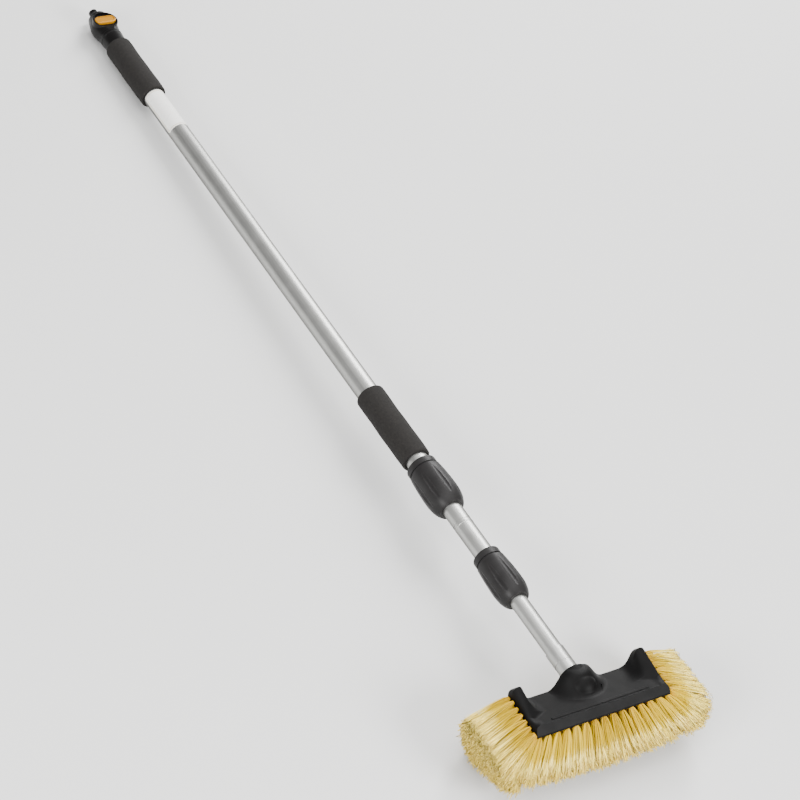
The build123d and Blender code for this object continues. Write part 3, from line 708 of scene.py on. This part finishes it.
# %% Start the tree and its inputs
def fibre_tree():
    tree = bpy.data.node_groups.new("tufts_of_fibres", "GeometryNodeTree")
    sizes = {
        "Fibres": ("Int", 40), "Hairs": ("Int", 4), "Tuft Radius": ("Float", 0.002),
        "Swell": ("Float", 0.0052), "Spread": ("Float", 0.08), "Length": ("Float", 0.059),
        "Trim": ("Float", 0.06), "Fibre Width": ("Float", 0.0007),
        "Hair Width": ("Float", 0.0005), "Split From": ("Float", 0.6),
        "Bend": ("Float", 0.002), "Curl": ("Float", 0.0045), "Crimp": ("Float", 0.013),
        "Reach": ("Float", 0.163), "Uneven": ("Float", 0.004), "Seed": ("Int", 1),
    }
    face = tree.interface
    face.new_socket("Geometry", in_out="INPUT", socket_type="NodeSocketGeometry")
    for name, (kind, value) in sizes.items():
        face.new_socket(
            name, in_out="INPUT", socket_type="NodeSocket" + kind
        ).default_value = value
    face.new_socket("Finish", in_out="INPUT", socket_type="NodeSocketMaterial")
    face.new_socket("Geometry", in_out="OUTPUT", socket_type="NodeSocketGeometry")
    inputs = add(tree, "NodeGroupInput").outputs
    return tree, {socket.name: socket for socket in inputs if socket.name}


# %% What a point remembers
MEMORY = {
    "way": "FLOAT_VECTOR",       # of the tuft, out of the block
    "across": "FLOAT_VECTOR",    # from the middle of the tuft to the fibre, up to 1
    "heading": "FLOAT_VECTOR",   # of the fibre at its root
    "bend": "FLOAT_VECTOR",      # where the fibre's tip is pushed
    "frizz": "FLOAT_VECTOR",     # where a split hair curls; a whole fibre has none
    "reach": "FLOAT",            # length of the fibre
    "tone": "FLOAT",             # random, from 0 to 1
    "along": "FLOAT",            # share of the fibre's length
}
KEPT = ("tone", "along")  # what the finish reads


def remember(tree, geometry, **values):
    """Keeps named values on the points, one after the other."""
    for name, value in values.items():
        geometry = add(
            tree, "GeometryNodeStoreNamedAttribute",
            {"data_type": MEMORY[name], "domain": "POINT"},
            Geometry=geometry, Name=name, Value=value,
        )
    return geometry


# %% A fibre of length 1, and fibres that stand on points
def unit_fibre(tree, foot, steps, crowding):
    """A three-sided thread along Z, from foot to 1, that remembers its height as 'along'."""
    start = add(tree, "ShaderNodeCombineXYZ", Z=foot)
    line = add(tree, "GeometryNodeCurvePrimitiveLine", Start=start, End=(0, 0, 1))
    thread = add(tree, "GeometryNodeResampleCurve", Curve=line, Count=steps)
    place = add(tree, "GeometryNodeInputPosition")
    height = add(tree, "ShaderNodeSeparateXYZ", Vector=place).outputs["Z"]
    crowded = add(tree, MATHS, {"operation": "POWER"}, height, crowding)
    moved = add(tree, "ShaderNodeCombineXYZ", Z=crowded)
    thread = add(tree, "GeometryNodeSetPosition", Geometry=thread, Position=moved)
    section = add(tree, "GeometryNodeCurvePrimitiveCircle", Resolution=3, Radius=0.5)
    mesh = add(
        tree, "GeometryNodeCurveToMesh", Curve=thread, Profile_Curve=section, Fill_Caps=True
    )
    return remember(tree, mesh, along=height)


def stand(tree, memory, points, fibre, width):
    """Instances of the fibre on the points, along their heading and as long as their reach."""
    turn = add(
        tree, "FunctionNodeAlignRotationToVector", {"axis": "Z"}, Vector=memory["heading"]
    )
    scale = add(tree, "ShaderNodeCombineXYZ", X=width, Y=width, Z=memory["reach"])
    return add(
        tree, "GeometryNodeInstanceOnPoints", Points=points, Instance=fibre, Rotation=turn,
        Scale=scale,
    )


# %% Random draws of a tuft
LEAST, MOST = (-1, -1, -1), (1, 1, 1)
DRAWS = (                 # angle, distance from the middle, bend, tone and frizz
    ("FLOAT", 0.0, tau), ("FLOAT", 0.0, 1.0), ("FLOAT_VECTOR", LEAST, MOST),
    ("FLOAT", 0.0, 1.0), ("FLOAT_VECTOR", LEAST, MOST),
)


def random_draws(tree, seed):
    """The draws above, each with the next seed."""
    return [
        add(
            tree, "FunctionNodeRandomValue", {"data_type": kind}, Min=low, Max=high,
            Seed=add(tree, MATHS, {"operation": "ADD"}, seed, number),
        )
        for number, (kind, low, high) in enumerate(DRAWS)
    ]


# %% Spread the fibres over their tuft
def across_tuft(tree, memory, angle, distance):
    """A random place on a disc of radius 1 that stands square to the tuft."""
    out = add(tree, MATHS, {"operation": "SQRT"}, distance)
    flat = []
    for wave in ("COSINE", "SINE"):
        part = add(tree, MATHS, {"operation": wave}, angle)
        flat.append(add(tree, MATHS, {"operation": "MULTIPLY"}, part, out))
    disc = add(tree, "ShaderNodeCombineXYZ", None, *flat)
    turn = add(tree, "FunctionNodeAlignRotationToVector", {"axis": "Z"}, Vector=memory["way"])
    return add(tree, "FunctionNodeRotateVector", Vector=disc, Rotation=turn)


def own_heading(tree, memory, spread):
    """The tuft's way, leaning outwards with the place across the tuft."""
    lean = add(tree, VECTORS, {"operation": "SCALE"}, memory["across"], Scale=spread)
    leaning = add(tree, VECTORS, {"operation": "ADD"}, memory["way"], lean)
    return add(tree, VECTORS, {"operation": "NORMALIZE"}, leaning)


def own_reach(tree, memory, length, trim):
    """The full length, less a random part of the trim."""
    lost = add(tree, MATHS, {"operation": "MULTIPLY"}, trim, memory["tone"])
    left = add(tree, MATHS, {"operation": "SUBTRACT"}, 1.0, lost)
    return add(tree, MATHS, {"operation": "MULTIPLY"}, length, left)


# %% Grow the fibres and their split ends
FIBRE_STEPS, HAIR_STEPS = 6, 5
FIBRE_CROWDING, HAIR_CROWDING = 1.6, 1.0   # above 1, the steps crowd towards the root


def grow(tree, sizes, memory):
    angle, distance, bend, tone, frizz = random_draws(tree, sizes["Seed"])
    points = add(
        tree, "GeometryNodeDuplicateElements", {"domain": "POINT"},
        Geometry=sizes["Geometry"], Amount=sizes["Fibres"],
    )
    points = remember(
        tree, points, across=across_tuft(tree, memory, angle, distance),
        heading=own_heading(tree, memory, sizes["Spread"]), bend=bend, tone=tone,
        reach=own_reach(tree, memory, sizes["Length"], sizes["Trim"]), frizz=(0, 0, 0),
    )
    aside = add(
        tree, VECTORS, {"operation": "SCALE"}, memory["across"], Scale=sizes["Tuft Radius"]
    )
    points = add(tree, "GeometryNodeSetPosition", Geometry=points, Offset=aside)
    hairs = add(
        tree, "GeometryNodeDuplicateElements", {"domain": "POINT"},
        Geometry=points, Amount=sizes["Hairs"],
    )
    hairs = remember(tree, hairs, frizz=frizz)
    fibre = unit_fibre(tree, 0.0, FIBRE_STEPS, FIBRE_CROWDING)
    hair = unit_fibre(tree, sizes["Split From"], HAIR_STEPS, HAIR_CROWDING)
    both = add(tree, "GeometryNodeJoinGeometry")
    fill(tree, both, stand(tree, memory, points, fibre, sizes["Fibre Width"]))
    fill(tree, both, stand(tree, memory, hairs, hair, sizes["Hair Width"]))
    return add(tree, "GeometryNodeRealizeInstances", Geometry=both)


# %% How far each part of the shape has come along the fibre
BEND_POWER, SPLIT_POWER = 2.0, 1.3
SWELL_RATE = 8.0          # a tuft has swollen to near two thirds after an eighth of its length


def bent_share(tree, along):
    return add(tree, MATHS, {"operation": "POWER"}, along, BEND_POWER)


def split_share(tree, along, split_from):
    """From 0 where the fibre splits to 1 at its tip."""
    past = add(tree, MATHS, {"operation": "SUBTRACT"}, along, split_from)
    split = add(tree, MATHS, {"operation": "SUBTRACT"}, 1.0, split_from)
    share = add(tree, MATHS, {"operation": "DIVIDE"}, past, split)
    share = add(tree, MATHS, {"operation": "MAXIMUM"}, share, 0.0)
    return add(tree, MATHS, {"operation": "POWER"}, share, SPLIT_POWER)


def swollen_share(tree, along):
    """Quickly up from 0 at the root and then slowly towards 1."""
    fade = add(tree, MATHS, {"operation": "MULTIPLY"}, along, -SWELL_RATE)
    fade = add(tree, MATHS, {"operation": "EXPONENT"}, fade)
    return add(tree, MATHS, {"operation": "SUBTRACT"}, 1.0, fade)


# %% Bend, curl, crimp and swell
CRIMP_WAVE = 5 * MM
HAIR_APART = 5.0          # how far the crimp of one hair is from that of the next
HALF_GREY = (0.5, 0.5, 0.5)


def crimp_way(tree, place, frizz):
    """A noise that waves along the hair, other for each hair, with its middle at nought."""
    waves = add(tree, VECTORS, {"operation": "SCALE"}, place, Scale=1 / CRIMP_WAVE)
    apart = add(tree, VECTORS, {"operation": "SCALE"}, frizz, Scale=HAIR_APART)
    waves = add(tree, VECTORS, {"operation": "ADD"}, waves, apart)
    noise = add(tree, NOISE, Vector=waves, Scale=1.0, Detail=1.0).outputs["Color"]
    return add(tree, VECTORS, {"operation": "SUBTRACT"}, noise, HALF_GREY)


def shaped_place(tree, sizes, memory):
    """Where a point of a straight fibre goes."""
    place = add(tree, "GeometryNodeInputPosition")
    split = split_share(tree, memory["along"], sizes["Split From"])
    crimp = crimp_way(tree, place, memory["frizz"])
    for way, share, size in (
        (memory["bend"], bent_share(tree, memory["along"]), sizes["Bend"]),
        (memory["frizz"], split, sizes["Curl"]),
        (crimp, split, sizes["Crimp"]),
        (memory["across"], swollen_share(tree, memory["along"]), sizes["Swell"]),
    ):
        much = add(tree, MATHS, {"operation": "MULTIPLY"}, share, size)
        moved = add(tree, VECTORS, {"operation": "SCALE"}, way, Scale=much)
        place = add(tree, VECTORS, {"operation": "ADD"}, place, moved)
    return place


# %% Cut the hairs at the sides and at the floor
FLOOR_WEAR = 1.5 * MM     # most that a hair is worn short of the floor
OVER_FLOOR = 0.3 * MM


def trimmed_place(tree, sizes, memory, place):
    """The same place, but inside the reach of the brush and over the floor."""
    parts = add(tree, "ShaderNodeSeparateXYZ", Vector=place).outputs
    ragged = add(tree, "ShaderNodeSeparateXYZ", Vector=memory["frizz"]).outputs
    side, under = [add(tree, MATHS, {"operation": "ABSOLUTE"}, ragged[axis]) for axis in "XY"]
    short = add(tree, MATHS, {"operation": "MULTIPLY"}, side, sizes["Uneven"])
    most = add(tree, MATHS, {"operation": "SUBTRACT"}, sizes["Reach"], short)
    least = add(tree, MATHS, {"operation": "MULTIPLY"}, most, -1.0)
    x = add(tree, MATHS, {"operation": "MINIMUM"}, parts["X"], most)
    x = add(tree, MATHS, {"operation": "MAXIMUM"}, x, least)
    worn = add(tree, MATHS, {"operation": "MULTIPLY"}, under, FLOOR_WEAR)
    lowest = add(tree, MATHS, {"operation": "ADD"}, worn, OVER_FLOOR)
    z = add(tree, MATHS, {"operation": "MAXIMUM"}, parts["Z"], lowest)
    return add(tree, "ShaderNodeCombineXYZ", X=x, Y=parts["Y"], Z=z)


# %% Put the tree together
tree, sizes = fibre_tree()
memory = {
    name: add(tree, "GeometryNodeInputNamedAttribute", {"data_type": kind}, Name=name)
    for name, kind in MEMORY.items()
}
grown = grow(tree, sizes, memory)
trimmed = trimmed_place(tree, sizes, memory, shaped_place(tree, sizes, memory))
shaped = add(tree, "GeometryNodeSetPosition", Geometry=grown, Position=trimmed)
smooth = add(tree, "GeometryNodeSetShadeSmooth", Geometry=shaped)
dyed = add(tree, "GeometryNodeSetMaterial", Geometry=smooth, Material=sizes["Finish"])
add(tree, "NodeGroupOutput", None, dyed)
print("the tree has", len(tree.nodes), "nodes")

# %% [markdown]
# ## Where the tufts stand
#
# The block is drilled in rows. Two rows run along the front and two along the back, splayed
# away from each other, and the last tufts of every row lean out towards the ends. Four nearly
# upright rows stand between them. The ends have columns of tufts of their own, which point
# sideways and droop: the higher a tuft stands on the end, the flatter it lies. One more column
# at each corner closes the gap to the rows. Sizes are in millimetres on the block, and angles in
# degrees, as a drawing would give them.

# %% Rows along the block
HALF_LENGTH, HALF_WIDTH = 104.0, 33.0
BOARD_END, MARGIN = 102.0, 5.0
ROOT_DEPTH = 1.0          # of a tuft in the board or in the end
END_LEAN = 38.0           # of the last tufts of a row


def row_of_tufts(y, splay, count):
    """Root and direction of each tuft of a row."""
    tufts = []
    for number in range(count):
        x = (BOARD_END - MARGIN) * (2 * number / (count - 1) - 1)
        lean, away = radians(END_LEAN * x / HALF_LENGTH), radians(splay)
        way = block_way(sin(lean), sin(away), -cos(away) * cos(lean))
        tufts.append((block_point(x, y, ROOT_DEPTH), way.normalized()))
    return tufts


# %% Tufts on the ends
END_FRONT, END_TOP, END_BACK = 5.0, 33.0, 29.0   # height of the end's top edge
EAR_TOP = 24.0            # where along the end the edge is highest
FEWEST_ROWS, ROW_HEIGHT = 3, 14.0        # one more tuft for each such height
END_LOW_DROOP = 57.0      # at the foot of the end; the upper droop is the column's own


def end_edge(y):
    if y > EAR_TOP:
        return END_TOP - (END_TOP - END_BACK) * (y - EAR_TOP) / (HALF_WIDTH - EAR_TOP)
    return END_FRONT + (END_TOP - END_FRONT) * (y + HALF_WIDTH) / (EAR_TOP + HALF_WIDTH)


def end_of_tufts(side, columns):
    """Root and direction of each tuft of an end, for columns of (y, turn, upper droop)."""
    tufts = []
    for y, turn, high_droop in columns:
        rows = FEWEST_ROWS + int(end_edge(y) / ROW_HEIGHT)
        for row in range(rows):
            share = (row + 0.5) / rows
            height, turned = end_edge(y) * share, radians(turn)
            droop = radians(END_LOW_DROOP + (high_droop - END_LOW_DROOP) * share)
            way = block_way(side * cos(droop) * cos(turned), sin(turned), -sin(droop))
            root = block_point(side * (HALF_LENGTH - ROOT_DEPTH), y, height)
            tufts.append((root, way.normalized()))
    return tufts


# %% Columns of the ends and of their corners
END_COLUMNS, END_HIGH_DROOP = 7, 21.0
FRONT_TURN, REAR_TURN = 3.0, 4.0
CORNER_MARGIN, CORNER_DROOP = 3.0, 34.0
FRONT_CORNER, REAR_CORNER = 4.0, 12.0    # turn of the corner columns

end_columns = []
for column in range(END_COLUMNS):
    share = 2 * column / (END_COLUMNS - 1) - 1
    turn = (REAR_TURN if share > 0 else FRONT_TURN) * share
    end_columns.append(((HALF_WIDTH - MARGIN) * share, turn, END_HIGH_DROOP))
corner_columns = [
    (-HALF_WIDTH + CORNER_MARGIN, -FRONT_CORNER, CORNER_DROOP),
    (HALF_WIDTH - CORNER_MARGIN, REAR_CORNER, CORNER_DROOP),
]
print("tufts on an end:", len(end_of_tufts(1, end_columns + corner_columns)))

# %% [markdown]
# ## Grow the beds of bristles
#
# Tufts that lie together are grown as one bed, and there are nine. Five of them stand for the
# five solids of the model, and the others, the inner rows and the corners, only fill the brush.
# The result is turned into a plain mesh, so that nothing has to be grown again later, and the
# numbers that only the tree needed are removed. The height along the fibre and the random tone
# stay, because the finish reads them.

# %% Grow and keep a bed
def set_size(modifier, name, value):
    socket = next(
        item for item in modifier.node_group.interface.items_tree
        if item.name == name and item.in_out == "INPUT"
    )
    modifier[socket.identifier] = value


def bed_of_bristles(name, nodes, tufts, made, **own_sizes):
    mesh = bpy.data.meshes.new(name + "_roots")
    mesh.from_pydata([tuple(root) for root, _ in tufts], [], [])
    ways = mesh.attributes.new("way", "FLOAT_VECTOR", "POINT")
    ways.data.foreach_set("vector", [c for _, way in tufts for c in way])
    seedling = into_scene(name + "_roots", mesh)
    modifier = seedling.modifiers.new("tufts", "NODES")
    modifier.node_group = tree
    for size, value in own_sizes.items():
        set_size(modifier, size, value)
    set_size(modifier, "Finish", made)
    view = bpy.context.evaluated_depsgraph_get()
    grown = bpy.data.meshes.new_from_object(seedling.evaluated_get(view))
    bpy.data.objects.remove(seedling)
    for attribute in MEMORY:
        if attribute not in KEPT and attribute in grown.attributes:
            grown.attributes.remove(grown.attributes[attribute])
    bed = into_scene(name, grown)
    place_piece(bed, made, "head_stage", nodes)
    print(name, "has", len(tufts), "tufts and", len(grown.polygons), "faces")


# %% Front, rear and underside
LENGTH = 60 * MM
OUTER_ROW, OUTER_SPLAY, OUTER_FIBRES = 30.0, 20.0, 80
INNER_ROW, INNER_SPLAY, INNER_FIBRES = 23.0, 11.0, 50
UNDER_ROWS, UNDER_SPLAY, UNDER_FIBRES = (-17.0, -5.7, 5.7, 17.0), 5.0, 24
ROW_TUFTS, UNDER_TUFTS = 15, 14
FIRST_SEED, NEXT_SEED, UNDER_SEED = 11, 12, 67

rows = (
    ("front_bristles", ["bristles_front"], -OUTER_ROW, -OUTER_SPLAY, OUTER_FIBRES),
    ("front_inner_bristles", [], -INNER_ROW, -INNER_SPLAY, INNER_FIBRES),
    ("rear_bristles", ["bristles_back"], OUTER_ROW, OUTER_SPLAY, OUTER_FIBRES),
    ("rear_inner_bristles", [], INNER_ROW, INNER_SPLAY, INNER_FIBRES),
)
for number, (name, nodes, y, splay, count) in enumerate(rows):
    bed_of_bristles(
        name, nodes, row_of_tufts(y, splay, ROW_TUFTS), fibre_finish,
        Seed=FIRST_SEED + NEXT_SEED * number, Length=LENGTH, Fibres=count,
    )
under = []
for y in UNDER_ROWS:
    under += row_of_tufts(y, UNDER_SPLAY * y / UNDER_ROWS[-1], UNDER_TUFTS)
bed_of_bristles(
    "under_bristles", ["bristles_bottom"], under, fibre_finish,
    Seed=UNDER_SEED, Length=LENGTH, Fibres=UNDER_FIBRES,
)

# %% Ends and corners
END_LENGTH, CORNER_LENGTH = 74 * MM, 70 * MM
END_FIBRES, CORNER_FIBRES = 52, 90
END_SEED, CORNER_SEED = 89, 95

for side, word in ((-1, "left"), (1, "right")):
    bed_of_bristles(
        word + "_bristles", ["bristles_" + word], end_of_tufts(side, end_columns),
        long_fibre_finish, Seed=END_SEED + side, Length=END_LENGTH, Fibres=END_FIBRES,
    )
    bed_of_bristles(
        word + "_corner_bristles", [], end_of_tufts(side, corner_columns),
        long_fibre_finish, Seed=CORNER_SEED + side, Length=CORNER_LENGTH, Fibres=CORNER_FIBRES,
    )

# %% [markdown]
# ## The studio
#
# The object stands alone on a plain pale floor. A long strip of light high on the right gives
# the bright band on the tubes. A light in front shows the bristles, a wide one overhead and one
# on the left fill the shadows, and an even white surround lifts the black plastic, so that its
# edges stay readable.

# %% Floor and lights
FLOOR = 8.0               # half the width of the sheet
FLOOR_CLOUDS = 3.0        # in a metre
LIGHTS = (                # name, place, target, size and watts
    ("long_strip", (1.9, 1.6, 2.0), (0, 0, 0), (0.9, 2.6), 175),
    ("front", (1.2, -3.1, 1.7), (0, -0.6, 0), (1.4, 1.2), 185),
    ("overhead", (-0.4, -0.2, 3.2), (-0.2, -0.1, 0), (3.0, 3.2), 125),
    ("left", (-2.8, -1.4, 1.6), (0, -0.5, 0), (1.6, 1.2), 160),
)
SURROUND = 0.35


def floor_sheet():
    mesh = bpy.data.meshes.new("floor")
    corners = [(-FLOOR, -FLOOR, 0), (FLOOR, -FLOOR, 0), (FLOOR, FLOOR, 0), (-FLOOR, FLOOR, 0)]
    mesh.from_pydata(corners, [], [(0, 1, 2, 3)])
    sheet = into_scene("floor", mesh)
    made, tree, surface, place = new_finish("pale_paper")
    cloud = add(tree, NOISE, Vector=place, Scale=FLOOR_CLOUDS, Detail=2.0)
    stops = (0, "#CFCFCE"), (1, "#D3D3D2")
    fill(tree, surface, Base_Color=add(tree, RAMP, {"stops": stops}, Fac=cloud), Roughness=0.9)
    dress(sheet, made)


def soft_light(name, place, target, size, watts):
    lamp = bpy.data.lights.new(name, "AREA")
    lamp.shape = "RECTANGLE"
    lamp.size, lamp.size_y = size
    lamp.energy = watts
    holder = into_scene(name, lamp)
    holder.location = place
    holder.rotation_euler = (Vector(target) - Vector(place)).to_track_quat("-Z", "Y").to_euler()


floor_sheet()
for light in LIGHTS:
    soft_light(*light)
world = bpy.data.worlds.new("studio")
bpy.context.scene.world = world
world.use_nodes = True
sky = world.node_tree.nodes["Background"]
fill(world.node_tree, sky, Color=linear("#FFFFFF"), Strength=SURROUND)
print("studio ready with", len(LIGHTS), "lights")
